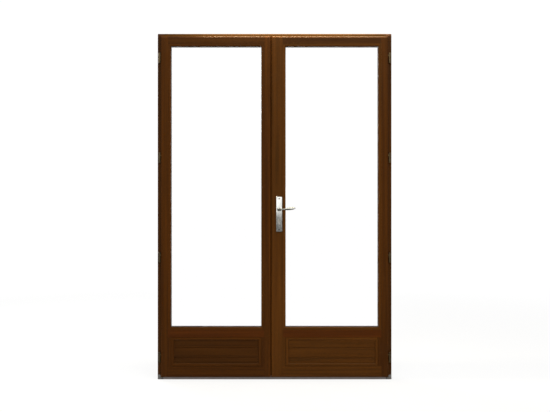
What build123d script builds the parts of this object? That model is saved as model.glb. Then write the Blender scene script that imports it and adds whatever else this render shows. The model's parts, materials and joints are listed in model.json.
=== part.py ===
from build123d import *
import math
import os

# French doors in their frame, in mm. X runs to the right as seen from the room, +Y to the outside
# and Z up. The origin is on the floor, midway along the doorset, at the leaves' mid-thickness.

# Frame
width = 1480.0               # over the jambs
height = 2190.0              # floor to the top of the head
frame_shows = 20.0           # jamb and head left in view round the leaves
head_round = 18.0            # round along the head's upper edge, room side
frame_arris = 1.5            # round down the jambs' outer edges, room side
stop_depth = 23.0            # thickness of the stop that the leaves shut against
stop_cover = 11.0            # how far the stop laps a leaf's body
fixing_r = 4.1               # holes for the screws that fix the jambs to the wall
fixing_low = 215.0           # lowest fixing hole above the floor
fixing_high = 205.0          # highest one below the top of the head
fixing_count = 4
frame_tenon = 18.0           # length of the head's tenons

# Threshold and its end caps
sill_h = 20.0
sill_lap = 5.0               # how far the leaf's lip hangs below the threshold's top
sill_nose_h = 12.0           # height of the outer nose
sill_out = 14.0              # nose beyond the back of the frame
sill_flat = 38.0             # level part of the top
sill_wall = 2.2
cap_h = 30.0
cap_top = 13.0               # level part of a cap's top
cap_low = 11.0               # where a cap's slope meets the threshold
cap_round = 9.0

# Leaves
leaf_t = 46.0                # thickness
lip_t = 13.0                 # the lip that laps the frame
lip_cover = 15.0             # how far the lip laps the frame
rebate_gap = 4.0             # leaf's body to the frame round it
face_gap = 2.0               # back of the lip to the face of the frame
stop_gap = 4.0               # back of the leaf to the stop
arris = 10.0                 # round on the leaf's outer edges, room side
hinge_stile_w = 65.0         # leaf edge to the edge of the glass in view
right_meeting_w = 91.6
left_meeting_w = 61.0
top_rail_w = 64.0
mid_rail_w = 84.0
bottom_rail_w = 89.0
panel_h = 146.0              # panel in view, between the rails
back_lip = 9.0               # outer lip of the rebate for glass and panel
tenon_t = 14.0
tenon_l = 22.0
tenon_shoulder = 5.0
joint_gap = 0.2              # tenon to mortise

# Where the leaves meet: a rounded tongue on the left leaf in a hollow in the right one
meeting_x = -21.6            # the right leaf's edge, as seen from the room
meeting_y = 3.0
tongue_r = 12.0
tongue_gap = 1.0             # tongue to hollow, all round
nose_flat = 8.5              # tongue's centre to its flat nose
nose_gap = 1.8               # nose to the floor of the hollow
front_gap = 2.0              # between the leaves, room side
back_gap = 4.0               # between the leaves, outside

# Glazing and panel
bead_w = 19.0
bead_set_back = 1.0
bead_round = 8.0
bead_quirk = 2.5             # bevel that leaves a line round the panel's beads
pane_t = 4.0
cavity = 12.0
gasket_t = 2.0
gasket_w = 12.0
glass_edge = 5.0             # clearance round the sealed unit
spacer_w = 8.0
spacer_inset = 3.0
block_l = 90.0               # setting blocks under the sealed unit
block_inset = 60.0
board_t = 28.0
board_w = 66.0               # pitch of the boards
board_vee = 3.0
board_tongue_t = 6.0
board_tongue_l = 7.0
board_gap = 0.3
panel_edge = 1.0             # clearance above and below the boards

# Weatherboard on the outside of each bottom rail
weather_h = 60.0
weather_out = 35.0
weather_top = 6.0            # thickness at its upper edge
weather_nose = 10.0          # upright part of its front
weather_end = 6.0            # set back from the leaf's edge
drip_w = 6.0
drip_deep = 5.0

# Hinges
hinge_low = 138.0            # middle of the lowest hinge above the floor
hinge_high = 159.0           # middle of the highest one below the top of the head
hinge_count = 4
knuckle_r = 6.5
knuckle_out = 7.5            # pivot beyond the leaf's edge
knuckle_deep = 7.0           # pivot behind the leaf's face
leaf_knuckle_l = 35.0
frame_knuckle_l = 29.0
knuckle_gap = 0.5
knuckle_end = 1.2
pin_r = 3.0
pin_fit = 0.05
pin_top = 5.0                # solid top of the leaf half above its bore
pin_end_gap = 1.0
stem_r = 3.5
stem_l = 38.0
stem_gap = 0.1

# Handle set
handle_z = 1075.0            # spindle above the floor
backset = 40.0               # faceplate to spindle
plate_w = 38.0
plate_h = 220.0
plate_t = 8.0
plate_wall = 2.5
plate_round = 2.0
plate_corner = 4.0
plate_drop = 30.0            # spindle above the middle of the plate
screw_pitch = 195.0
screw_r = 2.5
screw_head_r = 4.2
screw_head_h = 2.2
screw_sunk = 0.4             # head below the plate's face
screw_gap = 0.3              # recess round the head
screw_arris = 0.5
screw_slot = 1.2
boss_r = 5.5
bearing_boss_r = 14.0
lever_out = 57.0             # front of the lever's knob beyond the leaf's face
knob_r = 9.5                 # the knob's large lobe
knob_back = 13.0             # knob beyond the spindle's axis, away from the grip
knob_groove = 3.5            # groove between the lobes, from the spindle's axis
knob_end = 15.0              # where the small lobe runs into the shaft
lobe_r = 8.2                 # the small lobe
shaft_r = 4.6
collar_r = 10.0
collar_in = 6.0              # length of the collar inside the plate
collar_out = 2.0
neck_r = 6.5
neck_end_r = 7.5
running_gap = 0.05           # shaft in its bore
grip_ovals = (               # from the spindle: along, up, half height, half thickness, twist
    (14, 0.5, shaft_r, shaft_r, 0),
    (32, 0.9, 4.5, 4.3, 0),
    (46, 2.4, 7.2, 4.1, 10),
    (61, 4.2, 8.9, 3.8, 20),
    (76, 6.1, 9.8, 3.5, 27),
    (89, 7.6, 8.9, 3.1, 32),
    (97, 8.1, 6.2, 2.5, 35),
    (101.5, 8.2, 3.0, 1.6, 36),
)
spindle_w = 7.0
socket_deep = 22.0
spindle_short = 1.0          # spindle's end short of the floor of its socket
socket_gap = 0.1
bore_gap = 2.0               # hole in the timber round the spindle's hub

# Lock
cylinder_drop = 70.0         # spindle to the cylinder's plug
cylinder_r = 8.5
cylinder_h = 33.0
cylinder_web = 10.0
cylinder_proud = 2.0         # beyond the handle plates
plate_gap = 0.4              # hole in a plate round the cylinder
case_gap = 0.2               # hole in the case round the cylinder
plug_proud = 0.3             # plug beyond the cylinder's body
plug_r = 6.5
keyway_w = 2.6
keyway_h = 8.0
keyway_deep = 6.0
cam_t = 9.0
cam_reach = 15.0
cam_w = 8.0
cam_gap = 0.5
case_above = 55.0            # case beyond the spindle, upwards
case_below = 45.0            # case beyond the cylinder's plug, downwards
case_t = 14.0
case_behind = 15.0           # case beyond the spindle
pocket_gap = 0.5             # timber to what is let into it
faceplate_w = 16.0
faceplate_t = 3.0
faceplate_end = 12.0         # faceplate short of the leaf's ends
hub_proud = 0.3
bolt_w = 10.0
bolt_h = 30.0
bolt_l = 22.0
bolt_throw = 20.0
slide_gap = 0.3
rod_r = 4.0
rod_behind = 5.0             # rod's centre behind the faceplate
rod_short = 2.0              # end of a drawn-in rod inside the leaf
rod_throw = 20.0
rod_clear = 5.0              # bottom rod's end below the deadbolt
rod_over = 30.0              # top rod's end above the spindle
rod_bore_end = 1.0           # bore beyond a rod's inner end
groove_w = 10.0
keeper_l = 60.0
keeper_t = 2.5
keeper_bore = 5.0
keeper_cup_r = 7.0
keeper_cup_floor = 1.0
strike_h = 60.0
strike_t = 2.5
strike_gap = 1.0             # slot in the strike plate round the bolt

# Seal along the stop
seal_w = 8.0
seal_t = 3.0
seal_low = 2.0               # seal's foot above the threshold
seal_inset = 1.0             # seal's edge inside the leaf's edge

# How far a cut runs past the faces that it opens
past = 1.0

# Levels in depth
leaf_front = -leaf_t / 2
leaf_back = leaf_t / 2
lip_back = leaf_front + lip_t
frame_front = lip_back + face_gap
stop_front = leaf_back + stop_gap
frame_back = stop_front + stop_depth
rebate_stop = leaf_back - back_lip
bead_front = leaf_front + bead_set_back
unit_back = rebate_stop - gasket_t
unit_front = unit_back - cavity - 2 * pane_t
glass_bead_back = unit_front - gasket_t
board_front = rebate_stop - board_t

# Levels across, from the middle of the doorset
jamb_x = width / 2
lip_x = jamb_x - frame_shows
rebate_x = lip_x - lip_cover
body_x = rebate_x - rebate_gap
stop_x = body_x - stop_cover
hinge_sight = lip_x - hinge_stile_w
pivot_x = lip_x + knuckle_out
pivot_y = leaf_front + knuckle_deep
hollow_r = tongue_r + tongue_gap
hollow_floor = meeting_x + nose_flat + nose_gap
handle_x = hollow_floor + backset
rod_x = hollow_floor + faceplate_t + rod_behind

# Levels in height
lip_top = height - frame_shows
rebate_top = lip_top - lip_cover
body_top = rebate_top - rebate_gap
stop_top = body_top - stop_cover
lip_bottom = sill_h - sill_lap
body_bottom = sill_h + rebate_gap
panel_bottom = lip_bottom + bottom_rail_w
panel_top = panel_bottom + panel_h
glass_bottom = panel_top + mid_rail_w
glass_top = lip_top - top_rail_w
plate_z = handle_z - plate_drop
cylinder_z = handle_z - cylinder_drop
case_top = handle_z + case_above
case_bottom = cylinder_z - case_below


def spread(low, high, count):
    """Evenly spaced levels from low to high."""
    return [low + i * (high - low) / (count - 1) for i in range(count)]


hinge_levels = spread(hinge_low, height - hinge_high, hinge_count)
fixing_levels = spread(fixing_low, height - fixing_high, fixing_count)

nodes = {}


def block(x0, x1, y0, y1, z0, z1):
    """A square bar between two opposite corners."""
    return Pos((x0 + x1) / 2, (y0 + y1) / 2, (z0 + z1) / 2) * Box(x1 - x0, y1 - y0, z1 - z0)


def ring(x0, x1, z0, z1, band, y0, y1):
    """A flat rectangular ring whose outer edges are x0, x1, z0 and z1."""
    outer = block(x0, x1, y0, y1, z0, z1)
    return outer - block(x0 + band, x1 - band, y0 - past, y1 + past, z0 + band, z1 - band)


def along_x(outline, x0, x1):
    """Extrude a side-view outline (Y, Z) from x0 to x1."""
    return extrude(Plane.YZ.offset(x0) * outline, amount=x1 - x0)


def along_y(outline, y0, y1):
    """Extrude a front-view outline (X, Z) from y0 to y1."""
    return Pos(0, y0, 0) * extrude(Plane.XZ * outline, amount=y1 - y0, dir=(0, 1, 0))


def polygon(*points):
    """A flat face with straight edges."""
    return make_face(Polyline(*points, close=True))


def bar_x(r, x0, x1, y, z):
    """A round bar along X."""
    turned = Rot(0, 90, 0) * Cylinder(r, x1 - x0)
    return Pos((x0 + x1) / 2, y, z) * turned


def bar_y(r, y0, y1, x, z):
    """A round bar along Y."""
    turned = Rot(90, 0, 0) * Cylinder(r, y1 - y0)
    return Pos(x, (y0 + y1) / 2, z) * turned


def bar_z(r, z0, z1, x, y):
    """A round bar along Z."""
    return Pos(x, y, (z0 + z1) / 2) * Cylinder(r, z1 - z0)


def group(solids):
    """Like pieces that share one node, as separate solids."""
    return Compound(children=list(solids))


# Frame

def frame_shape():
    """The outside of the whole frame: a large round along its top, a small one down each side."""
    whole = block(-jamb_x, jamb_x, frame_front, frame_back, 0, height)
    top = whole.faces().sort_by(Axis.Y)[0].edges().sort_by(Axis.Z)[-1]
    whole = fillet(top, min(head_round, 0.9 * frame_shows, 0.9 * (frame_back - frame_front)))
    sides = whole.faces().sort_by(Axis.Y)[0].edges().filter_by(Axis.Z)
    return fillet(sides, frame_arris)


def sill_outline():
    """Side view of the threshold: a level top, then a fall to the outer nose."""
    flat_end = frame_front + sill_flat
    nose = frame_back + sill_out
    return polygon(
        (frame_front, 0), (nose, 0), (nose, sill_nose_h), (flat_end, sill_h), (frame_front, sill_h)
    )


def cap_outline():
    """Front view of the right end cap, whose rounded shoulder slopes down to the threshold."""
    outline = polygon(
        (rebate_x, 0), (jamb_x, 0), (jamb_x, cap_h), (jamb_x - cap_top, cap_h), (rebate_x, cap_low)
    )
    shoulder = outline.vertices().sort_by_distance((jamb_x - cap_top, cap_h, 0))[0]
    return fillet(shoulder, cap_round)


def end_cap():
    return along_y(cap_outline(), frame_front, frame_back + sill_out)


def threshold():
    """An extrusion with two closed chambers, cut out for the keeper of the bottom rod."""
    body = along_x(sill_outline(), -rebate_x, rebate_x)
    web = frame_front + sill_flat
    wall = sill_wall
    inner = polygon(
        (frame_front + wall, wall), (web - wall / 2, wall),
        (web - wall / 2, sill_h - wall), (frame_front + wall, sill_h - wall),
    )
    nose = frame_back + sill_out - wall
    outer = polygon(
        (web + wall / 2, wall), (nose, wall),
        (nose, sill_nose_h - wall), (web + wall / 2, sill_h - wall * 1.2),
    )
    body -= along_x(inner, -rebate_x - past, rebate_x + past)
    body -= along_x(outer, -rebate_x - past, rebate_x + past)
    half = keeper_l / 2
    band = faceplate_w / 2
    return body - block(
        rod_x - half, rod_x + half, meeting_y - band, meeting_y + band,
        sill_h - wall - past, sill_h + past,
    )


def head_tenon(clear=0.0):
    """The tenons at both ends of the head, or with clearance the mortises for them."""
    mid = (frame_front + stop_front) / 2
    low = rebate_top + tenon_shoulder - clear
    high = height - tenon_shoulder + clear
    reach = rebate_x + frame_tenon + 2 * clear
    return block(-reach, reach, mid - tenon_t / 2 - clear, mid + tenon_t / 2 + clear, low, high)


def head(shape):
    body = block(-rebate_x, rebate_x, frame_front, stop_front, rebate_top, height)
    body += block(-stop_x, stop_x, stop_front, frame_back, stop_top, height)
    body = (body & shape) + head_tenon()
    half = keeper_l / 2
    band = faceplate_w / 2
    body -= block(
        rod_x - half, rod_x + half, meeting_y - band, meeting_y + band,
        rebate_top - past, rebate_top + keeper_t,
    )
    depth = rod_throw + keeper_t + rebate_gap
    return body - bar_z(keeper_bore + pocket_gap, rebate_top, rebate_top + depth, rod_x, meeting_y)


def right_jamb(shape):
    """Jamb with its stop, mortised for the head, drilled for hinges and wall screws."""
    body = block(rebate_x, jamb_x, frame_front, stop_front, 0, height)
    body += block(stop_x, jamb_x, stop_front, frame_back, 0, height)
    body = (body & shape) - head_tenon(joint_gap)
    body -= along_y(cap_outline(), frame_front - past, frame_back + past)
    body -= along_x(sill_outline(), 0, rebate_x)
    mid = (stop_front + frame_back) / 2
    for z in fixing_levels:
        body -= bar_x(fixing_r, stop_x - past, jamb_x + past, mid, z)
    for z in hinge_levels:
        end = pivot_y + stem_l + past
        body -= bar_y(stem_r + stem_gap, frame_front - past, end, pivot_x, frame_stem_z(z))
    return body


def frame_seal():
    """Rubber seal round three sides of the stop, which the leaves shut against."""
    x1 = body_x - seal_inset
    z1 = body_top - seal_inset
    y0 = stop_front - seal_t
    low = sill_h + seal_low
    x0 = x1 - seal_w
    outer = block(-x1, x1, y0, stop_front, low, z1)
    return outer - block(-x0, x0, y0 - past, stop_front + past, low - past, z1 - seal_w)


def head_keeper():
    half = keeper_l / 2
    band = faceplate_w / 2
    plate = block(
        rod_x - half, rod_x + half, meeting_y - band, meeting_y + band,
        rebate_top, rebate_top + keeper_t,
    )
    top = rebate_top + keeper_t + past
    return plate - bar_z(keeper_bore, rebate_top - past, top, rod_x, meeting_y)


def sill_keeper():
    """A flush plate in the threshold with a cup below it for the end of the bottom rod."""
    half = keeper_l / 2
    band = faceplate_w / 2
    plate = block(
        rod_x - half, rod_x + half, meeting_y - band, meeting_y + band, sill_h - sill_wall, sill_h
    )
    cup = plate + bar_z(keeper_cup_r, sill_wall, sill_h - sill_wall, rod_x, meeting_y)
    return cup - bar_z(keeper_bore, sill_wall + keeper_cup_floor, sill_h + past, rod_x, meeting_y)


# Hinges

def leaf_stem_z(z):
    return z + knuckle_gap / 2 + leaf_knuckle_l / 2


def frame_stem_z(z):
    return z - knuckle_gap / 2 - frame_knuckle_l / 2


def leaf_hinge_half(z):
    """Upper half of a drilled-in hinge: a knuckle with a blind bore and a stem into the leaf."""
    low = z + knuckle_gap / 2
    knuckle = bar_z(knuckle_r, low, low + leaf_knuckle_l, pivot_x, pivot_y)
    knuckle = chamfer(knuckle.edges().group_by(Axis.Z)[-1], knuckle_end)
    stem = bar_x(stem_r, pivot_x - stem_l, pivot_x, pivot_y, leaf_stem_z(z))
    bore = bar_z(pin_r + pin_fit, low - past, low + leaf_knuckle_l - pin_top, pivot_x, pivot_y)
    return knuckle + stem - bore


def frame_hinge_half(z):
    """Lower half: a knuckle with its pin and a stem into the jamb."""
    high = z - knuckle_gap / 2
    knuckle = bar_z(knuckle_r, high - frame_knuckle_l, high, pivot_x, pivot_y)
    knuckle = chamfer(knuckle.edges().group_by(Axis.Z)[0], knuckle_end)
    stem = bar_y(stem_r, pivot_y, pivot_y + stem_l, pivot_x, frame_stem_z(z))
    pin_high = z + knuckle_gap / 2 + leaf_knuckle_l - pin_top - pin_end_gap
    return knuckle + stem + bar_z(pin_r, high - past, pin_high, pivot_x, pivot_y)


# Leaves. Each is worked out with its hinges on the right; the left one is turned over at the end.

class Leaf:
    """What differs between the leaves: the meeting edge and the stile beside it."""

    def __init__(self, name, edge, stile_w, flipped):
        self.name = name
        self.edge = edge
        self.sight = edge + stile_w
        self.flipped = flipped

    def keep(self, piece, part):
        nodes[self.name + "_" + piece] = mirror(part, about=Plane.YZ) if self.flipped else part


def tongue():
    """The left leaf's rounded tongue, on the left leaf's own side of the middle."""
    centre = -meeting_x
    root = centre + back_gap + tongue_r
    whole = bar_z(tongue_r, body_bottom, body_top, centre, meeting_y)
    whole += block(
        centre, root, meeting_y - tongue_r, meeting_y + tongue_r, body_bottom, body_top
    )
    keep_in = block(centre - nose_flat, root, leaf_front, leaf_back, body_bottom, body_top)
    return whole & keep_in


def hollow():
    """The right leaf's hollow, with a flat floor for the faceplate."""
    low = body_bottom - past
    high = body_top + past
    whole = bar_z(hollow_r, low, high, meeting_x, meeting_y)
    return whole & block(meeting_x - hollow_r, hollow_floor, leaf_front, leaf_back, low, high)


def leaf_shape(leaf):
    """The outside of a whole leaf: the lip with its rounded edges, and the body behind it."""
    lip = block(leaf.edge, lip_x, leaf_front, lip_back, lip_bottom, lip_top)
    lip = fillet(lip.faces().sort_by(Axis.Y)[0].edges(), min(arris, 0.9 * lip_t))
    if leaf.flipped:
        back_edge = -meeting_x + back_gap
        body = block(leaf.edge, body_x, lip_back, meeting_y, body_bottom, body_top)
        body += block(back_edge, body_x, meeting_y, leaf_back, body_bottom, body_top)
        return lip + body + tongue()
    body = block(leaf.edge, body_x, lip_back, leaf_back, body_bottom, body_top)
    return (lip + body) - hollow()


def rail_tenon(x0, x1, z0, z1, clear=0.0):
    """A rail's tenons at both ends, or with clearance the mortises for them."""
    mid = (board_front + rebate_stop) / 2
    low = z0 + tenon_shoulder - clear
    high = z1 - tenon_shoulder + clear
    half = tenon_t / 2 + clear
    reach = tenon_l + 2 * clear
    return block(x0 - reach, x1 + reach, mid - half, mid + half, low, high)


def rail_levels():
    """For each rail: its front lower and upper edges, and those of its lip behind the glass."""
    return {
        "top_rail": (glass_top + bead_w, lip_top, glass_top, lip_top),
        "mid_rail": (panel_top + bead_w, glass_bottom - bead_w, panel_top, glass_bottom),
        "bottom_rail": (lip_bottom, panel_bottom - bead_w, lip_bottom, panel_bottom),
    }


def tenon_band(z0, z1):
    """Tenons stay inside the part of the rail that is in the leaf's body."""
    return max(z0, body_bottom), min(z1, body_top)


def rails(leaf, shape):
    x0 = leaf.sight - bead_w
    x1 = hinge_sight + bead_w
    for name, (z0, z1, lip_z0, lip_z1) in rail_levels().items():
        body = block(x0, x1, leaf_front, rebate_stop, z0, z1)
        body += block(leaf.sight, hinge_sight, rebate_stop, leaf_back, lip_z0, lip_z1)
        body += rail_tenon(x0, x1, *tenon_band(z0, z1))
        leaf.keep(name, body & shape)


def mortised(leaf, stile):
    x0 = leaf.sight - bead_w
    x1 = hinge_sight + bead_w
    for z0, z1, _, _ in rail_levels().values():
        stile -= rail_tenon(x0, x1, *tenon_band(z0, z1), clear=joint_gap)
    return stile


def foot_of_stile(front_x0, front_x1, back_x0, back_x1):
    """Beside the panel a stile is not rebated for glass, and keeps its width to the sight line."""
    front = block(
        front_x0, front_x1, leaf_front, rebate_stop, panel_bottom - bead_w, panel_top + bead_w
    )
    return front + block(back_x0, back_x1, rebate_stop, leaf_back, panel_bottom, panel_top)


def hinge_stile(leaf, shape):
    inner = hinge_sight + bead_w
    body = block(inner, lip_x, leaf_front, rebate_stop, lip_bottom, lip_top)
    body += block(hinge_sight, lip_x, rebate_stop, leaf_back, lip_bottom, lip_top)
    body += foot_of_stile(hinge_sight, inner, hinge_sight - bead_w, hinge_sight)
    body = mortised(leaf, body & shape)
    for z in hinge_levels:
        start = pivot_x - stem_l - past
        body -= bar_x(stem_r + stem_gap, start, lip_x + past, pivot_y, leaf_stem_z(z))
    leaf.keep("hinge_stile", body)
    leaf.keep("leaf_hinges", group(leaf_hinge_half(z) for z in hinge_levels))


def meeting_stile(leaf, shape):
    """The stile at the middle of the doorset, before the lock or the strike is let in."""
    outer = -meeting_x - nose_flat - past if leaf.flipped else leaf.edge
    inner = leaf.sight - bead_w
    body = block(outer, inner, leaf_front, rebate_stop, lip_bottom, lip_top)
    body += block(outer, leaf.sight, rebate_stop, leaf_back, lip_bottom, lip_top)
    body += foot_of_stile(inner, leaf.sight, leaf.sight, leaf.sight + bead_w)
    return mortised(leaf, body & shape)


# Beads, glass and panel

def bead_stick(length, y0, y1, quirk):
    """One mitred bead: its outer edge lies along X, its rounded sight edge is above."""
    r = min(bead_round, 0.9 * (y1 - y0), 0.9 * bead_w - quirk)
    outer_edge = [Line((y0 + quirk, 0), (y0, quirk))] if quirk else []
    profile = make_face(outer_edge + [
        Line((y0, quirk), (y0, bead_w - r)),
        ThreePointArc(
            (y0, bead_w - r),
            (y0 + r - r * math.cos(math.pi / 4), bead_w - r + r * math.sin(math.pi / 4)),
            (y0 + r, bead_w),
        ),
        Line((y0 + r, bead_w), (y1, bead_w)),
        Line((y1, bead_w), (y1, 0)),
        Line((y1, 0), (y0 + quirk, 0)),
    ])
    half = length / 2
    mitres = polygon((-half, 0), (half, 0), (half - bead_w, bead_w), (bead_w - half, bead_w))
    return along_x(profile, -half, half) & along_y(mitres, y0 - past, y1 + past)


def beads(x0, x1, z0, z1, back, quirk=0.0):
    """Four mitred beads round an opening whose edges in view are x0, x1, z0 and z1."""
    flat = bead_stick(x1 - x0 + 2 * bead_w, bead_front, back, quirk)
    upright = bead_stick(z1 - z0 + 2 * bead_w, bead_front, back, quirk)
    mid_x = (x0 + x1) / 2
    mid_z = (z0 + z1) / 2
    return group([
        Pos(mid_x, 0, z0 - bead_w) * flat,
        Pos(mid_x, 0, z1 + bead_w) * Rot(0, 180, 0) * flat,
        Pos(x0 - bead_w, 0, mid_z) * Rot(0, 90, 0) * upright,
        Pos(x1 + bead_w, 0, mid_z) * Rot(0, -90, 0) * upright,
    ])


def glazing(leaf):
    """The sealed unit on its setting blocks, its gaskets and its beads."""
    reach = bead_w - glass_edge
    x0, x1 = leaf.sight - reach, hinge_sight + reach
    z0, z1 = glass_bottom - reach, glass_top + reach
    leaf.keep("outer_pane", block(x0, x1, unit_back - pane_t, unit_back, z0, z1))
    leaf.keep("inner_pane", block(x0, x1, unit_front, unit_front + pane_t, z0, z1))
    s = spacer_inset
    leaf.keep("spacer", ring(
        x0 + s, x1 - s, z0 + s, z1 - s, spacer_w, unit_front + pane_t, unit_back - pane_t
    ))
    leaf.keep("gaskets", group([
        ring(x0, x1, z0, z1, gasket_w, unit_back, rebate_stop),
        ring(x0, x1, z0, z1, gasket_w, glass_bead_back, unit_front),
    ]))
    floor = glass_bottom - bead_w
    starts = (x0 + block_inset, x1 - block_inset - block_l)
    leaf.keep("setting_blocks", group(
        block(x, x + block_l, unit_front, unit_back, floor, z0) for x in starts
    ))
    leaf.keep(
        "glass_beads", beads(leaf.sight, hinge_sight, glass_bottom, glass_top, glass_bead_back)
    )


def panel_board(x0, x1, z0, z1, has_tongue, has_groove):
    """One horizontal board, tongue up and groove down, with a V at each joint in view."""
    mid = (board_front + rebate_stop) / 2
    half = board_tongue_t / 2
    slot = half + board_gap
    v = board_vee
    points = [(board_front, z0 + v), (board_front + v, z0)] if has_groove else [(board_front, z0)]
    if has_groove:
        roof = z0 + board_tongue_l + board_gap
        points += [(mid - slot, z0), (mid - slot, roof), (mid + slot, roof), (mid + slot, z0)]
    points += [(rebate_stop, z0), (rebate_stop, z1)]
    if has_tongue:
        tip = z1 + board_tongue_l
        points += [(mid + half, z1), (mid + half, tip), (mid - half, tip), (mid - half, z1)]
        points += [(board_front + v, z1), (board_front, z1 - v)]
    else:
        points += [(board_front, z1)]
    return along_x(polygon(*points), x0, x1)


def panel(leaf):
    """Boards laid from the top down, the last one ripped to fit, held by mitred beads."""
    x0 = leaf.sight + 2 * panel_edge
    x1 = hinge_sight - 2 * panel_edge
    top = panel_top + bead_w - panel_edge
    bottom = panel_bottom - bead_w + panel_edge
    joints = [top, top - board_w, top - 2 * board_w, bottom]
    for i, name in enumerate(("upper_board", "middle_board", "lower_board")):
        leaf.keep(name, panel_board(x0, x1, joints[i + 1], joints[i], i > 0, i < 2))
    sides = leaf.sight + bead_w, hinge_sight - bead_w
    leaf.keep(
        "panel_beads", beads(*sides, panel_bottom, panel_top, board_front, bead_quirk)
    )


def weatherboard(leaf):
    """Moulded board across the outside of the bottom rail, with a drip groove below."""
    z0 = body_bottom
    z1 = z0 + weather_h
    y0 = leaf_back
    nose = y0 + weather_out
    rise = z0 + weather_nose
    groove_y = nose - drip_w
    outline = make_face([
        Line((y0, z0), (groove_y - drip_w, z0)),
        Line((groove_y - drip_w, z0), (groove_y - drip_w, z0 + drip_deep)),
        Line((groove_y - drip_w, z0 + drip_deep), (groove_y, z0 + drip_deep)),
        Line((groove_y, z0 + drip_deep), (groove_y, z0)),
        Line((groove_y, z0), (nose, z0)),
        Line((nose, z0), (nose, rise)),
        TangentArc((nose, rise), (y0 + weather_top, z1), tangent=(0, 1)),
        Line((y0 + weather_top, z1), (y0, z1)),
        Line((y0, z1), (y0, z0)),
    ])
    leaf.keep("weatherboard", along_x(outline, leaf.edge + weather_end, stop_x - rebate_gap))


def leaf_pieces(leaf):
    shape = leaf_shape(leaf)
    rails(leaf, shape)
    hinge_stile(leaf, shape)
    glazing(leaf)
    panel(leaf)
    weatherboard(leaf)
    return meeting_stile(leaf, shape)


# Handle set

def euro_outline(clear=0.0):
    """Front view of a profile cylinder, with its plug's centre at the origin."""
    drop = cylinder_h - cylinder_r - cylinder_web / 2
    web = Pos(0, -drop / 2) * Rectangle(cylinder_web + 2 * clear, drop)
    foot = Pos(0, -drop) * Circle(cylinder_web / 2 + clear)
    return Circle(cylinder_r + clear) + web + foot


def screw_levels():
    return plate_z - screw_pitch / 2, plate_z + screw_pitch / 2


def handle_plate():
    """The room-side plate: rounded front edges, hollow behind, with bosses round its holes."""
    front = leaf_front - plate_t
    at = Pos(handle_x, plate_z)
    body = along_y(at * RectangleRounded(plate_w, plate_h, plate_corner), front, leaf_front)
    rim = body.faces().sort_by(Axis.Y)[0].edges()
    body = fillet(rim, min(plate_round, 0.8 * plate_wall, 0.45 * plate_corner))
    inner = RectangleRounded(
        plate_w - 2 * plate_wall, plate_h - 2 * plate_wall, plate_corner - plate_wall * 0.8
    )
    body -= along_y(at * inner, front + plate_wall, leaf_front + past)
    back = leaf_front
    body += bar_y(bearing_boss_r, front + plate_wall / 2, back, handle_x, handle_z)
    body -= bar_y(collar_r + running_gap, front - past, back + past, handle_x, handle_z)
    around = Pos(handle_x, cylinder_z) * euro_outline(plate_gap + plate_wall)
    body += along_y(around, front + plate_wall / 2, back)
    hole = Pos(handle_x, cylinder_z) * euro_outline(plate_gap)
    body -= along_y(hole, front - past, back + past)
    for z in screw_levels():
        body += bar_y(boss_r, front + plate_wall / 2, back, handle_x, z)
    return body


def inner_plate():
    """Drilled and countersunk for the two screws."""
    body = handle_plate()
    front = leaf_front - plate_t
    for z in screw_levels():
        body -= bar_y(screw_r + socket_gap, front - past, leaf_front + past, handle_x, z)
        body -= bar_y(screw_head_r + screw_gap, front - past, front + screw_head_h, handle_x, z)
    return body


def outer_plate():
    """The plate outside, with blind threaded bosses, so that no screw shows there."""
    body = mirror(handle_plate(), about=Plane.XZ)
    for z in screw_levels():
        body -= bar_y(screw_r, leaf_back - past, leaf_back + plate_t - plate_wall, handle_x, z)
    return body


def plate_screw(z):
    """A screw from the inner plate through the stile into the outer plate."""
    front = leaf_front - plate_t
    head_end = front + screw_head_h
    shank = bar_y(screw_r, head_end, leaf_back + plate_t - plate_wall - screw_arris, handle_x, z)
    head = bar_y(screw_head_r, front + screw_sunk, head_end, handle_x, z)
    top = chamfer(head.edges().sort_by(Axis.Y)[0], screw_arris)
    slot = block(
        handle_x - screw_head_r, handle_x + screw_head_r, front - past,
        front + screw_head_h / 2, z - screw_slot / 2, z + screw_slot / 2,
    )
    return top + shank - slot


def lever():
    """The room-side lever: a turned neck, a knob of two lobes across it, and a twisted grip."""
    start = leaf_front - plate_t + collar_in
    y = leaf_front - lever_out + knob_r
    lever = turned_neck(start, y) + Pos(handle_x, y, handle_z) * knob() + grip(y)
    socket = spindle_w / 2 + socket_gap
    hole = block(
        handle_x - socket, handle_x + socket, start - socket_deep, start + past,
        handle_z - socket, handle_z + socket,
    )
    return lever - hole


def turned_neck(start, end):
    """The collar that turns in the plate, and the waisted neck from it to the knob."""
    face = leaf_front - plate_t - collar_out
    half = make_face([
        Line((0, start), (collar_r, start)),
        Line((collar_r, start), (collar_r, face)),
        ThreePointArc((collar_r, face), (neck_r, (face + end) / 2), (neck_end_r, end)),
        Line((neck_end_r, end), (0, end)),
        Line((0, end), (0, start)),
    ])
    return Pos(handle_x, 0, handle_z) * revolve(half, axis=Axis.Y)


def knob():
    """A large and a small lobe, turned about the lever's own length."""
    middle = knob_r - knob_back
    groove_r = math.sqrt(knob_r ** 2 - (knob_groove - middle) ** 2)
    half = make_face([
        ThreePointArc((-knob_back, 0), (middle, knob_r), (knob_groove, groove_r)),
        ThreePointArc(
            (knob_groove, groove_r), ((knob_groove + knob_end) / 2, lobe_r), (knob_end, shaft_r)
        ),
        Line((knob_end, shaft_r), (knob_end, 0)),
        Line((knob_end, 0), (-knob_back, 0)),
    ])
    return revolve(half, axis=Axis.X)


def grip(y):
    """The grip, lofted through ovals: a slim shaft, then a leaf that turns its face upwards."""
    faces = []
    for x, rise, tall, thick, twist in grip_ovals:
        at = (handle_x + x, y, handle_z + rise)
        plane = Plane(origin=at, x_dir=(0, 0, 1), z_dir=(1, 0, 0))
        faces.append(plane * Rot(0, 0, -twist) * Ellipse(tall, thick))
    return loft(faces)


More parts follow.
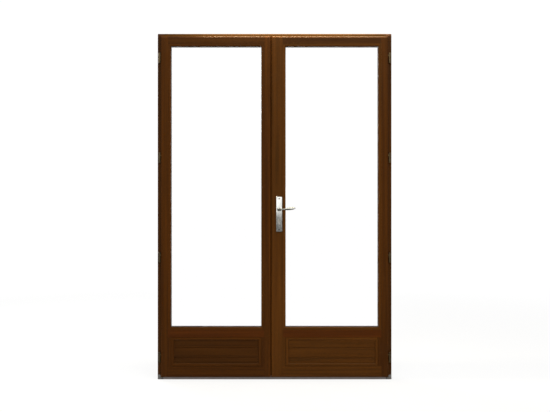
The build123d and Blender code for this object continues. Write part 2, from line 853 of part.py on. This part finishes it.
def spindle():
    reach = -(leaf_front - plate_t + collar_in) + socket_deep - spindle_short
    half = spindle_w / 2
    return block(
        handle_x - half, handle_x + half, -reach, reach, handle_z - half, handle_z + half
    )


# Lock

def case_faces():
    return meeting_y - case_t / 2, meeting_y + case_t / 2


def lock_hub():
    """The hub that the spindle turns, with a square hole."""
    y0, y1 = case_faces()
    socket = spindle_w / 2 + socket_gap
    hub = bar_y(collar_r, y0 - hub_proud, y1 + hub_proud, handle_x, handle_z)
    return hub - block(
        handle_x - socket, handle_x + socket, y0 - past, y1 + past,
        handle_z - socket, handle_z + socket,
    )


def lock_case():
    """The closed case, with its bores for hub and rods, its bolt channel and its cam pocket."""
    y0, y1 = case_faces()
    x0 = hollow_floor + faceplate_t
    x1 = handle_x + case_behind
    body = block(x0, x1, y0, y1, case_bottom, case_top)
    body -= bar_y(collar_r + running_gap, y0 - past, y1 + past, handle_x, handle_z)
    profile = Pos(handle_x, cylinder_z) * euro_outline(case_gap)
    body -= along_y(profile, y0 - past, y1 + past)
    half = cam_t / 2 + cam_gap
    body -= bar_y(cam_reach + cam_gap, meeting_y - half, meeting_y + half, handle_x, cylinder_z)
    body -= bolt_channel(x0 - past)
    fit = rod_r + running_gap
    low, high = rod_ends()
    body -= bar_z(fit, high - rod_bore_end, case_top + past, rod_x, meeting_y)
    return body - bar_z(fit, case_bottom - past, low + rod_bore_end, rod_x, meeting_y)


def bolt_channel(x0):
    half = bolt_w / 2 + slide_gap
    tall = bolt_h / 2 + slide_gap
    x1 = hollow_floor + bolt_l + slide_gap
    return block(x0, x1, meeting_y - half, meeting_y + half, cylinder_z - tall, cylinder_z + tall)


def deadbolt():
    half = bolt_w / 2
    tall = bolt_h / 2
    x1 = hollow_floor + bolt_l
    return block(
        hollow_floor, x1, meeting_y - half, meeting_y + half, cylinder_z - tall, cylinder_z + tall
    )


def faceplate():
    """The long strip on the floor of the hollow, cut out for the deadbolt."""
    half = faceplate_w / 2
    strip = block(
        hollow_floor, hollow_floor + faceplate_t, meeting_y - half, meeting_y + half,
        body_bottom + faceplate_end, body_top - faceplate_end,
    )
    return strip - bolt_channel(hollow_floor - past)


def rod_ends():
    """Levels of the rods' ends inside the case: the bottom rod's top and the top rod's foot."""
    return cylinder_z - bolt_h / 2 - rod_clear, handle_z + rod_over


def top_rod():
    return bar_z(rod_r, rod_ends()[1], body_top - rod_short, rod_x, meeting_y)


def bottom_rod():
    return bar_z(rod_r, body_bottom + rod_short, rod_ends()[0], rod_x, meeting_y)


def cylinder_ends():
    reach = leaf_back + plate_t + cylinder_proud
    return -reach, reach


def cylinder_body():
    """The profile cylinder's body, open round the cam, bored for the plug."""
    y0, y1 = cylinder_ends()
    body = along_y(Pos(handle_x, cylinder_z) * euro_outline(), y0, y1)
    half = cam_t / 2 + cam_gap
    side = cylinder_r + past
    body -= block(
        handle_x - side, handle_x + side, meeting_y - half, meeting_y + half,
        cylinder_z - cam_reach - cam_gap, cylinder_z + side,
    )
    return body - bar_y(plug_r + running_gap, y0 - past, y1 + past, handle_x, cylinder_z)


def cylinder_plug():
    """The turning plug with the cam at its middle and a keyway at both ends."""
    y0, y1 = cylinder_ends()
    plug = bar_y(plug_r, y0 - plug_proud, y1 + plug_proud, handle_x, cylinder_z)
    half = cam_t / 2
    cam = bar_y(cylinder_r, meeting_y - half, meeting_y + half, handle_x, cylinder_z)
    tip = math.sqrt(cam_reach ** 2 - (cam_w / 2) ** 2)
    finger = block(
        handle_x - cam_w / 2, handle_x + cam_w / 2, meeting_y - half, meeting_y + half,
        cylinder_z - tip, cylinder_z,
    )
    slot = keyway_w / 2
    low = cylinder_z - keyway_h + keyway_w
    keyways = block(
        handle_x - slot, handle_x + slot, y0 - past, y0 + keyway_deep, low, cylinder_z + keyway_w
    )
    keyways += block(
        handle_x - slot, handle_x + slot, y1 - keyway_deep, y1 + past, low, cylinder_z + keyway_w
    )
    return plug + cam + finger - keyways


def locked_stile(stile):
    """The right meeting stile, cut for the lock, its rods, the cylinder and the spindle."""
    x0 = hollow_floor - past
    back = hollow_floor + faceplate_t
    half = faceplate_w / 2
    end = faceplate_end
    stile -= block(
        x0, back, meeting_y - half, meeting_y + half, body_bottom + end, body_top - end
    )
    groove = groove_w / 2
    stile -= block(
        x0, rod_x + groove, meeting_y - groove, meeting_y + groove,
        body_bottom - past, body_top + past,
    )
    y0, y1 = case_faces()
    g = pocket_gap
    stile -= block(
        x0, handle_x + case_behind + g, y0 - g, y1 + g,
        case_bottom - g, case_top + g,
    )
    y0, y1 = leaf_front - past, leaf_back + past
    stile -= bar_y(collar_r + bore_gap, y0, y1, handle_x, handle_z)
    stile -= along_y(Pos(handle_x, cylinder_z) * euro_outline(pocket_gap), y0, y1)
    for z in screw_levels():
        stile -= bar_y(screw_r + pocket_gap, y0, y1, handle_x, z)
    return stile


def strike_box(x0, x1, wide, tall):
    return block(x0, x1, meeting_y - wide / 2, meeting_y + wide / 2,
                 cylinder_z - tall / 2, cylinder_z + tall / 2)


def strike_plate():
    """Let into the tongue's nose, with a slot for the deadbolt."""
    nose = -meeting_x - nose_flat
    plate = strike_box(nose, nose + strike_t, faceplate_w, strike_h)
    gap = 2 * strike_gap
    return plate - strike_box(nose - past, nose + strike_t + past, bolt_w + gap, bolt_h + gap)


def struck_stile(stile):
    """The left meeting stile, cut for the strike plate and the thrown bolt."""
    nose = -meeting_x - nose_flat
    stile -= strike_box(nose - past, nose + strike_t, faceplate_w, strike_h)
    gap = 2 * (strike_gap + pocket_gap)
    return stile - strike_box(nose, nose + bolt_throw + gap, bolt_w + gap, bolt_h + gap)


# Everything, then one file for each piece

def build():
    shape = frame_shape()
    jamb = right_jamb(shape)
    nodes["right_jamb"] = jamb
    nodes["left_jamb"] = mirror(jamb, about=Plane.YZ)
    nodes["head"] = head(shape)
    nodes["threshold"] = threshold()
    nodes["right_end_cap"] = end_cap()
    nodes["left_end_cap"] = mirror(end_cap(), about=Plane.YZ)
    nodes["frame_seal"] = frame_seal()
    nodes["head_keeper"] = head_keeper()
    nodes["threshold_keeper"] = sill_keeper()
    pins = group(frame_hinge_half(z) for z in hinge_levels)
    nodes["right_frame_hinges"] = pins
    nodes["left_frame_hinges"] = mirror(pins, about=Plane.YZ)

    right = Leaf("right", meeting_x, right_meeting_w, False)
    right.keep("meeting_stile", locked_stile(leaf_pieces(right)))
    left = Leaf("left", -meeting_x + front_gap, left_meeting_w, True)
    left.keep("meeting_stile", struck_stile(leaf_pieces(left)))
    left.keep("strike_plate", strike_plate())

    nodes["inner_plate"] = inner_plate()
    nodes["outer_plate"] = outer_plate()
    nodes["plate_screws"] = group(plate_screw(z) for z in screw_levels())
    inside = lever()
    nodes["inner_lever"] = inside
    nodes["outer_lever"] = mirror(inside, about=Plane.XZ)
    nodes["spindle"] = spindle()
    nodes["lock_hub"] = lock_hub()
    nodes["lock_case"] = lock_case()
    nodes["faceplate"] = faceplate()
    nodes["deadbolt"] = deadbolt()
    nodes["cylinder_body"] = cylinder_body()
    nodes["cylinder_plug"] = cylinder_plug()
    nodes["top_rod"] = top_rod()
    nodes["bottom_rod"] = bottom_rod()


build()
os.makedirs("parts", exist_ok=True)
for name, part in nodes.items():
    export_step(part, f"parts/{name}.step")
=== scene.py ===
import json
import math

import bpy
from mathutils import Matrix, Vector


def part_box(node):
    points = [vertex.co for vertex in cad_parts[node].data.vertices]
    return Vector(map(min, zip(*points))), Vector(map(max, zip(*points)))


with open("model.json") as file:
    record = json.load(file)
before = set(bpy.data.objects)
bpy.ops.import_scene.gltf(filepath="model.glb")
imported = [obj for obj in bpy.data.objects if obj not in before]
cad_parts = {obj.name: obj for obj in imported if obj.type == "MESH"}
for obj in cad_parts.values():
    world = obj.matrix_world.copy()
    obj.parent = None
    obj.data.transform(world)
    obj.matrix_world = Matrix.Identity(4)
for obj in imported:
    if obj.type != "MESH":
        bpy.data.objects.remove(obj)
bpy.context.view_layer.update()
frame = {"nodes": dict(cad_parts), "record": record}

MM = 0.001

# Sockets of a mix node, which has two inputs and an output for each kind of value
VECTOR_A, VECTOR_B, VECTOR_MIXED = 4, 5, 1
COLOUR_A, COLOUR_B, COLOUR_MIXED = 6, 7, 2

CLOUDY = 3.0                        # detail of a pattern that only varies a surface


def srgb(code):
    """Linear colour from an sRGB hex value."""
    values = [int(code[i:i + 2], 16) / 255 for i in (0, 2, 4)]
    linear = [v / 12.92 if v <= 0.04045 else ((v + 0.055) / 1.055) ** 2.4 for v in values]
    return (*linear, 1.0)


def add(tree, kind, *inputs, **settings):
    """A node with its settings; inputs are (socket, value or socket to link from) pairs."""
    node = tree.nodes.new(kind)
    for name, value in settings.items():
        setattr(node, name, value)
    for key, value in inputs:
        if isinstance(value, bpy.types.NodeSocket):
            tree.links.new(value, node.inputs[key])
        else:
            node.inputs[key].default_value = value
    return node


def empty_material(name):
    """A material without nodes, and its node tree."""
    material = bpy.data.materials.new(name)
    material.use_nodes = True
    material.node_tree.nodes.clear()
    return material, material.node_tree


# Timber

# What the wood shows: size across and along the grain, detail, harshness and wander
GRAIN = {
    "figure": (26 * MM, 1100 * MM, 4.0, 0.5, 0.7),    # slow bands of redder and browner heartwood
    "streaks": (5 * MM, 380 * MM, 3.0, 0.6, 0.3),     # ribbon streaks within them
    "pores": (0.9 * MM, 14 * MM, 2.0, 0.5, 0.0),      # drawn two to three times their real size
    "brush": (3 * MM, 90 * MM, 2.0, 0.5, 0.0),        # marks that the brush left in the varnish
}
PIECE_SHIFT = (7.3, 5.1, 3.7)       # sets the grain of each piece apart from its neighbours'
STREAK_TONE = 0.16                  # how far a streak shifts the tone
DEEP_TONE, WARM_TONE, PALE_TONE = 0.30, 0.52, 0.74
PORE_EDGE, PORE_HEART = 0.57, 0.66  # where a pore begins and where it is fully open
PORE_SHADE, PORE_BROWN = 0.65, "1E0F05"
PORE_DULL = 0.3                     # an open pore breaks the sheen
PORE_DEEP = 1.6                     # its depth against the brush marks
DARKER_FOOT_HIGH = 340 * MM              # the wood turns darker towards the foot of the doors, up to this height
DARKER_FOOT_SHARE, DARKER_FOOT_BROWN = 0.12, "2C1A0D"
FILM_PATCH = 60 * MM                # the film of varnish is thicker and thinner in patches
FILM_THIN, FILM_THICK, FILM_VARIES = 0.3, 0.7, 0.05
FILM_DEEP, FILM_RELIEF = 0.08 * MM, 0.35
VARNISH_IOR = 1.5
AMBER = "FFDCA8"                    # the varnish warms what it mirrors
SATIN, SATIN_SPECULAR = 0.33, 0.2   # its roughness, and a specular level below that of gloss


def lengthways(tree, node, along):
    """Object coordinates, the same turned so that the grain runs along their Z, and the height."""
    place = add(tree, "ShaderNodeTexCoord").outputs["Object"]
    x, y, z = add(tree, "ShaderNodeSeparateXYZ", ("Vector", place)).outputs
    turned = add(tree, "ShaderNodeCombineXYZ", ("X", z), ("Y", y), ("Z", x)).outputs["Vector"]
    if along != "both":
        return place, turned if along == "X" else place, z
    # Mitred beads lie round an opening: a point belongs to the bead along the nearer side
    low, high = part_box(node)
    gaps = []
    for axis, value in ((0, x), (2, z)):
        middle, half = (low[axis] + high[axis]) / 2, (high[axis] - low[axis]) / 2
        off = add(tree, "ShaderNodeMath", (0, value), (1, middle), operation="SUBTRACT").outputs[0]
        off = add(tree, "ShaderNodeMath", (0, off), operation="ABSOLUTE").outputs[0]
        gap = add(tree, "ShaderNodeMath", (0, half), (1, off), operation="SUBTRACT")
        gaps.append(gap.outputs[0])
    upright = add(tree, "ShaderNodeMath", (0, gaps[0]), (1, gaps[1]), operation="LESS_THAN")
    mixed = add(tree, "ShaderNodeMix", ("Factor", upright.outputs[0]), (VECTOR_A, turned),
                (VECTOR_B, place), data_type="VECTOR")
    return place, mixed.outputs[VECTOR_MIXED], z


def varnished_mahogany(node, along, deep, warm, pale, rough=SATIN, specular=SATIN_SPECULAR):
    """Stained mahogany, planed and brushed with satin varnish: slow bands of redder and browner
    heartwood, finer ribbon streaks, short dark pores that break the sheen, and a darker foot."""
    material, tree = empty_material("satin_mahogany_" + node)
    place, grain, height = lengthways(tree, node, along)
    low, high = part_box(node)
    start = (PIECE_SHIFT[0] * low[0] + high[2], PIECE_SHIFT[1] * high[0],
             PIECE_SHIFT[2] * low[2] + high[0])
    layer = {}
    for name, (wide, long, detail, harsh, wander) in GRAIN.items():
        placed = add(tree, "ShaderNodeMapping", ("Vector", grain), ("Location", start),
                     ("Scale", (1 / wide, 1 / wide, 1 / long)))
        layer[name] = add(tree, "ShaderNodeTexNoise", ("Vector", placed.outputs[0]),
                          ("Scale", 1.0), ("Detail", detail), ("Roughness", harsh),
                          ("Distortion", wander)).outputs["Fac"]

    streak = add(tree, "ShaderNodeMapRange", ("Value", layer["streaks"]),
                 ("To Min", -STREAK_TONE), ("To Max", STREAK_TONE)).outputs[0]
    tone = add(tree, "ShaderNodeMath", (0, layer["figure"]), (1, streak),
               operation="ADD").outputs[0]
    warmer = add(tree, "ShaderNodeMapRange", ("Value", tone),
                 ("From Min", DEEP_TONE), ("From Max", WARM_TONE)).outputs[0]
    paler = add(tree, "ShaderNodeMapRange", ("Value", tone),
                ("From Min", WARM_TONE), ("From Max", PALE_TONE)).outputs[0]
    open_pore = add(tree, "ShaderNodeMapRange", ("Value", layer["pores"]), ("From Min", PORE_EDGE),
                    ("From Max", PORE_HEART), ("To Max", PORE_SHADE)).outputs[0]
    # the wood turns darker brown towards the foot of the doors
    darker_foot = add(tree, "ShaderNodeMapRange", ("Value", height), ("From Max", DARKER_FOOT_HIGH),
                   ("To Min", DARKER_FOOT_SHARE), ("To Max", 0.0)).outputs[0]
    wood = srgb(deep)
    for share, code in ((warmer, warm), (paler, pale),
                        (open_pore, PORE_BROWN), (darker_foot, DARKER_FOOT_BROWN)):
        wood = add(tree, "ShaderNodeMix", ("Factor", share), (COLOUR_A, wood),
                   (COLOUR_B, srgb(code)), data_type="RGBA").outputs[COLOUR_MIXED]

    film = add(tree, "ShaderNodeTexNoise", ("Vector", place), ("Scale", 1 / FILM_PATCH),
               ("Detail", CLOUDY)).outputs["Fac"]
    dull = add(tree, "ShaderNodeMapRange", ("Value", film), ("From Min", FILM_THIN),
               ("From Max", FILM_THICK), ("To Min", rough - FILM_VARIES),
               ("To Max", rough + FILM_VARIES)).outputs[0]
    dull = add(tree, "ShaderNodeMath", (0, open_pore), (1, PORE_DULL), (2, dull),
               operation="MULTIPLY_ADD").outputs[0]
    relief = add(tree, "ShaderNodeMath", (0, open_pore), (1, -PORE_DEEP), (2, layer["brush"]),
                 operation="MULTIPLY_ADD").outputs[0]
    bump = add(tree, "ShaderNodeBump", ("Strength", FILM_RELIEF), ("Distance", FILM_DEEP),
               ("Height", relief)).outputs["Normal"]
    shader = add(tree, "ShaderNodeBsdfPrincipled", ("Base Color", wood), ("Roughness", dull),
                 ("Normal", bump), ("IOR", VARNISH_IOR), ("Specular IOR Level", specular),
                 ("Specular Tint", srgb(AMBER)))
    add(tree, "ShaderNodeOutputMaterial", ("Surface", shader.outputs["BSDF"]))
    return material


# Glass, rubber, plastics and metals

GLASS_IOR = 1.52
BLOTCH = 25 * MM                    # broad cloudiness over any surface
BLEND_LOW, BLEND_HIGH = 0.7, 1.3    # range of the fine and the broad pattern added up
SURFACE_RELIEF = 0.3
METAL, NOT_METAL = 1.0, 0.0
DRAWN_ALONG_X = (60, 1, 1)
DRAWN_ALONG_Z = (1, 1, 60)


def float_glass():
    """Clear float glass: seen by its dark edge and by what it reflects."""
    material, tree = empty_material("clear_float_glass")
    shader = add(tree, "ShaderNodeBsdfPrincipled", ("Base Color", srgb("FFFFFF")),
                 ("Transmission Weight", 1.0), ("IOR", GLASS_IOR), ("Roughness", 0.0))
    add(tree, "ShaderNodeOutputMaterial", ("Surface", shader.outputs["BSDF"]))
    return material


def surface(name, colours, metallic, rough, grain, depth, drawn=(1, 1, 1)):
    """One make of surface: two close tones, a sheen that varies and a relief, all at its own
    grain, which can be drawn out along a profile."""
    material, tree = empty_material(name)
    place = add(tree, "ShaderNodeTexCoord").outputs["Object"]
    placed = add(tree, "ShaderNodeMapping", ("Vector", place),
                 ("Scale", tuple(1 / (grain * times) for times in drawn)))
    fine = add(tree, "ShaderNodeTexNoise", ("Vector", placed.outputs[0]), ("Scale", 1.0),
               ("Detail", CLOUDY)).outputs["Fac"]
    broad = add(tree, "ShaderNodeTexNoise", ("Vector", place), ("Scale", 1 / BLOTCH),
                ("Detail", CLOUDY)).outputs["Fac"]
    both = add(tree, "ShaderNodeMath", (0, fine), (1, broad), operation="ADD").outputs[0]
    tone = add(tree, "ShaderNodeMapRange", ("Value", both),
               ("From Min", BLEND_LOW), ("From Max", BLEND_HIGH)).outputs[0]
    colour = add(tree, "ShaderNodeMix", ("Factor", tone), (COLOUR_A, srgb(colours[0])),
                 (COLOUR_B, srgb(colours[1])), data_type="RGBA").outputs[COLOUR_MIXED]
    dull = add(tree, "ShaderNodeMapRange", ("Value", tone),
               ("To Min", rough[0]), ("To Max", rough[1])).outputs[0]
    bump = add(tree, "ShaderNodeBump", ("Strength", SURFACE_RELIEF), ("Distance", depth),
               ("Height", fine)).outputs["Normal"]
    shader = add(tree, "ShaderNodeBsdfPrincipled", ("Base Color", colour), ("Roughness", dull),
                 ("Normal", bump), ("Metallic", metallic))
    add(tree, "ShaderNodeOutputMaterial", ("Surface", shader.outputs["BSDF"]))
    return material


finishes = {
    "glass": float_glass(),
    # extruded aluminium, bronze-grey anodised: drawn lines along its length under a soft sheen
    "sill_metal": surface("anodised_aluminium", ("C6BAB6", "D6CCC8"), METAL, rough=(0.4, 0.52),
                          grain=0.8 * MM, depth=0.02 * MM, drawn=DRAWN_ALONG_X),
    # moulded grey nylon: spark-eroded texture, matt
    "cap_plastic": surface("moulded_grey_nylon", ("64605C", "75716D"), NOT_METAL,
                           rough=(0.45, 0.6), grain=0.9 * MM, depth=0.04 * MM),
    # extruded black rubber: matt, with dust in its skin
    "seal_rubber": surface("extruded_black_rubber", ("10100F", "1F1F1D"), NOT_METAL,
                           rough=(0.6, 0.8), grain=0.7 * MM, depth=0.04 * MM),
    # roll-formed aluminium spacer: mill finish, bright with fine lines
    "spacer_metal": surface("mill_aluminium", ("8C8E90", "A2A4A6"), METAL, rough=(0.3, 0.42),
                            grain=0.6 * MM, depth=0.01 * MM, drawn=DRAWN_ALONG_Z),
    # moulded setting blocks: plain blue plastic
    "block_plastic": surface("moulded_blue_block", ("23446E", "2E5482"), NOT_METAL,
                             rough=(0.4, 0.55), grain=0.9 * MM, depth=0.03 * MM),
    # turned steel hinges, bronze plated to go with the timber: a brown metal with a soft sheen
    "hinge_metal": surface("bronzed_steel", ("7A6546", "94805C"), METAL, rough=(0.26, 0.38),
                           grain=0.9 * MM, depth=0.01 * MM),
    # cast zinc, polished and nickel plated: near mirror with faint wipe marks
    "handle_metal": surface("polished_nickel", ("D9D9D2", "E8E8E3"), METAL, rough=(0.06, 0.12),
                            grain=1.2 * MM, depth=0.004 * MM),
    # zinc plated steel of the lock and its strips: a dull rolled sheen
    "lock_metal": surface("zinc_plated_steel", ("9C9C98", "B5B5B0"), METAL, rough=(0.28, 0.42),
                          grain=0.8 * MM, depth=0.01 * MM, drawn=DRAWN_ALONG_Z),
    # machined brass cylinder, nickel plated and blasted matt: paler than the plate round it
    "cylinder_metal": surface("nickel_plated_brass", ("E2DED2", "EEEBE1"), METAL,
                              rough=(0.58, 0.66), grain=0.6 * MM, depth=0.006 * MM),
}
# The levers are cast like the plates but left satin, and coloured darker, which is painted shade,
# so that they stand out against the light
shaded_satin_lever = surface("satin_nickel_painted_shade", ("80807B", "92928C"), METAL, rough=(0.26, 0.34),
                      grain=1.0 * MM, depth=0.006 * MM)
# Steel screws, zinc plated: duller than the plates, and darker, in part as painted shade for their
# slots and countersinks
darker_screw_and_shade = surface("zinc_plated_screws_and_painted_shade", ("5E5E5A", "74746F"), METAL, rough=(0.3, 0.4),
                     grain=0.6 * MM, depth=0.01 * MM)
own_finish = {"inner_lever": shaded_satin_lever, "outer_lever": shaded_satin_lever, "plate_screws": darker_screw_and_shade}

GRAIN_ALONG = {"upright_timber": "Z", "level_timber": "X", "board_timber": "X",
               "bead_timber": "both"}
# Stains from deep to pale. Each timber piece is cut from its own stick: the head is golden and
# duller, its stain in part a painted glow of the light from above; the middle rails are the
# reddest;
# the jambs, top rails and left boards are the darkest, in part painted shade where less light
# falls;
# and the right leaf is a little lighter than the left, in part painted light from the right
GOLDEN_AND_LIT = ("3C260B", "482E0E", "543614")
RED = ("421D06", "4E2406", "5A2C09")
DEEP_AND_SHADED = ("361B06", "422207", "4E2A08")
BROWN = ("3E1E05", "4A2606", "582E08")
LIGHT_AND_LIT = ("442608", "522D0A", "60360D")
HEAD_ROUGH, HEAD_SPECULAR = 0.55, 0.02


def stain(node):
    """A timber piece's stain, in part painted light and shade for the head, the darkest pieces and
    the right leaf, and for the head also its duller varnish.
    """
    if node == "head":
        # golden head stain, in part a painted glow of the light from above
        return *GOLDEN_AND_LIT, HEAD_ROUGH, HEAD_SPECULAR
    if node.endswith("mid_rail"):
        return RED
    # darkest stain, in part painted shade on the jambs and top rails
    if node.endswith(("jamb", "top_rail")):
        return DEEP_AND_SHADED
    # lighter stain, in part painted light falling from the right
    if node.startswith("right") and not node.endswith("hinge_stile"):
        return LIGHT_AND_LIT
    # the left boards take the darkest stain, in part painted shade
    return DEEP_AND_SHADED if node.endswith("board") and "weather" not in node else BROWN


slots = {row["node"]: row["material_slot"] for row in frame["record"]["subparts"]}
for node, thing in frame["nodes"].items():
    slot = slots[node]
    finish = own_finish.get(node) or finishes.get(slot)
    finish = finish or varnished_mahogany(node, GRAIN_ALONG[slot], *stain(node))
    for coat in thing.material_slots:
        coat.material = finish


# Floor, backdrop and light

WHITE = 1.04                 # strength of the white, which is still white behind two panes
BACKDROP_GLOSS = 0.34        # how much of the white backdrop metal and varnish show
FLOOR_GLOSS = 0.17           # and of the floor, which lies further off and in the camera's shade
FLOOR_SIDE = 200             # metres: the handle plate mirrors the floor as far as the horizon
SWEEP_NEAR, SWEEP_FAR = 2.0, 7.0      # between these distances the floor fades into the backdrop
FLOOR_WHITE = 0.75           # how much of it is plain white near the doors; the rest takes shadow
FLOOR_PAINT, FLOOR_MATT = "F4F4F2", 0.9
ROOM_LIGHT = 0.5             # even light from all round


def seen_directly(tree, share):
    """Where the camera looks, also through glass, the share of white that a reflection shows, and
    the white of both together. Light that falls on the doors gets none of it."""
    path = add(tree, "ShaderNodeLightPath")
    seen = add(tree, "ShaderNodeMath", (0, path.outputs["Is Camera Ray"]),
               (1, path.outputs["Is Transmission Ray"]), operation="MAXIMUM")
    plain = add(tree, "ShaderNodeMath", (0, seen.outputs[0]), (1, WHITE), operation="MULTIPLY")
    gloss = add(tree, "ShaderNodeMath", (0, path.outputs["Is Glossy Ray"]), (1, share),
                operation="MULTIPLY")
    level = add(tree, "ShaderNodeMath", (0, plain.outputs[0]), (1, gloss.outputs[0]),
                operation="MAXIMUM")
    return seen.outputs[0], gloss.outputs[0], level.outputs[0]


bpy.ops.object.select_all(action="DESELECT")
bpy.ops.mesh.primitive_plane_add(size=FLOOR_SIDE, location=(0, 0, 0))
floor = bpy.context.object
floor.name = "floor"
# Matt painted studio floor: pale and even, with the doors' shadow on it
material, tree = empty_material("pale_studio_floor")
paint = add(tree, "ShaderNodeBsdfPrincipled", ("Base Color", srgb(FLOOR_PAINT)),
            ("Roughness", FLOOR_MATT))
seen, gloss, level = seen_directly(tree, FLOOR_GLOSS)
spot = add(tree, "ShaderNodeTexCoord").outputs["Object"]
away = add(tree, "ShaderNodeVectorMath", (0, spot), operation="LENGTH").outputs["Value"]
fade = add(tree, "ShaderNodeMapRange", ("Value", away), ("From Min", SWEEP_NEAR),
           ("From Max", SWEEP_FAR), ("To Min", FLOOR_WHITE)).outputs[0]
direct = add(tree, "ShaderNodeMath", (0, seen), (1, fade), operation="MULTIPLY").outputs[0]
mirrored = add(tree, "ShaderNodeMath", (0, gloss), (1, 0.0), operation="GREATER_THAN").outputs[0]
share = add(tree, "ShaderNodeMath", (0, direct), (1, mirrored), operation="MAXIMUM").outputs[0]
white = add(tree, "ShaderNodeEmission", ("Strength", level))
mixed = add(tree, "ShaderNodeMixShader", (0, share), (1, paint.outputs["BSDF"]),
            (2, white.outputs["Emission"]))
add(tree, "ShaderNodeOutputMaterial", ("Surface", mixed.outputs[0]))
floor.data.materials.append(material)

world = bpy.data.worlds.new("soft_studio")
world.use_nodes = True
bpy.context.scene.world = world
tree = world.node_tree
tree.nodes.clear()
*_, level = seen_directly(tree, BACKDROP_GLOSS)
shown = add(tree, "ShaderNodeMath", (0, level), (1, 0.0), operation="GREATER_THAN").outputs[0]
room = add(tree, "ShaderNodeBackground", ("Color", srgb("FFFFFF")), ("Strength", ROOM_LIGHT))
white = add(tree, "ShaderNodeBackground", ("Color", srgb("FFFFFF")), ("Strength", level))
mixed = add(tree, "ShaderNodeMixShader", (0, shown), (1, room.outputs[0]), (2, white.outputs[0]))
add(tree, "ShaderNodeOutputWorld", ("Surface", mixed.outputs[0]))


def softbox(name, place, target, size, watts, colour="FFFFFF"):
    """A lamp with a rectangular face, all in metres, turned from its place to a target."""
    data = bpy.data.lights.new(name, "AREA")
    data.shape = "RECTANGLE"
    data.size, data.size_y = size
    data.energy = watts
    data.color = srgb(colour)[:3]
    lamp = bpy.data.objects.new(name, data)
    bpy.context.scene.collection.objects.link(lamp)
    lamp.location = place
    lamp.rotation_euler = (Vector(target) - Vector(place)).to_track_quat("-Z", "Y").to_euler()


# Large and high in front, so that its mirror image passes over the doors and no metal burns out
softbox("front_key", place=(0.9, -3.0, 4.7), target=(0, 0, 0.9), size=(4.0, 2.6), watts=124)
# Thin, warm and close over the head: a golden head, and a cream line on the leaves' top edges
softbox("overhead_strip", place=(0.13, -0.027, 2.48), target=(0.13, -0.027, 2.15),
        size=(1.2, 0.05), watts=21, colour="FFF1D2")
# Soft light on the outside of the doors
softbox("back_fill", place=(-2.6, 3.0, 2.8), target=(0, 0, 1.0), size=(1.6, 1.6), watts=90)
# A small card behind the camera, which the upper half of the handle plate mirrors
softbox("camera_card", place=(0, -6.5, 1.19), target=(0, 0, 1.19), size=(0.36, 0.36), watts=0.55)

# The camera stands level in front of the doors, close to their middle line
CAMERA_ACROSS, CAMERA_DISTANCE, CAMERA_HEIGHT = 0.0025, 5.0, 1.097
PICTURE_WIDE = 3.488         # metres in view at the doors' plane
SENSOR = 36.0                # millimetres

data = bpy.data.cameras.new("camera")
data.sensor_width = SENSOR
data.lens = SENSOR * CAMERA_DISTANCE / PICTURE_WIDE
eye = bpy.data.objects.new("camera", data)
bpy.context.scene.collection.objects.link(eye)
eye.location = (CAMERA_ACROSS, -CAMERA_DISTANCE, CAMERA_HEIGHT)
eye.rotation_euler = (math.pi / 2, 0, 0)
bpy.context.scene.camera = eye
bpy.context.scene.view_settings.view_transform = "Standard"
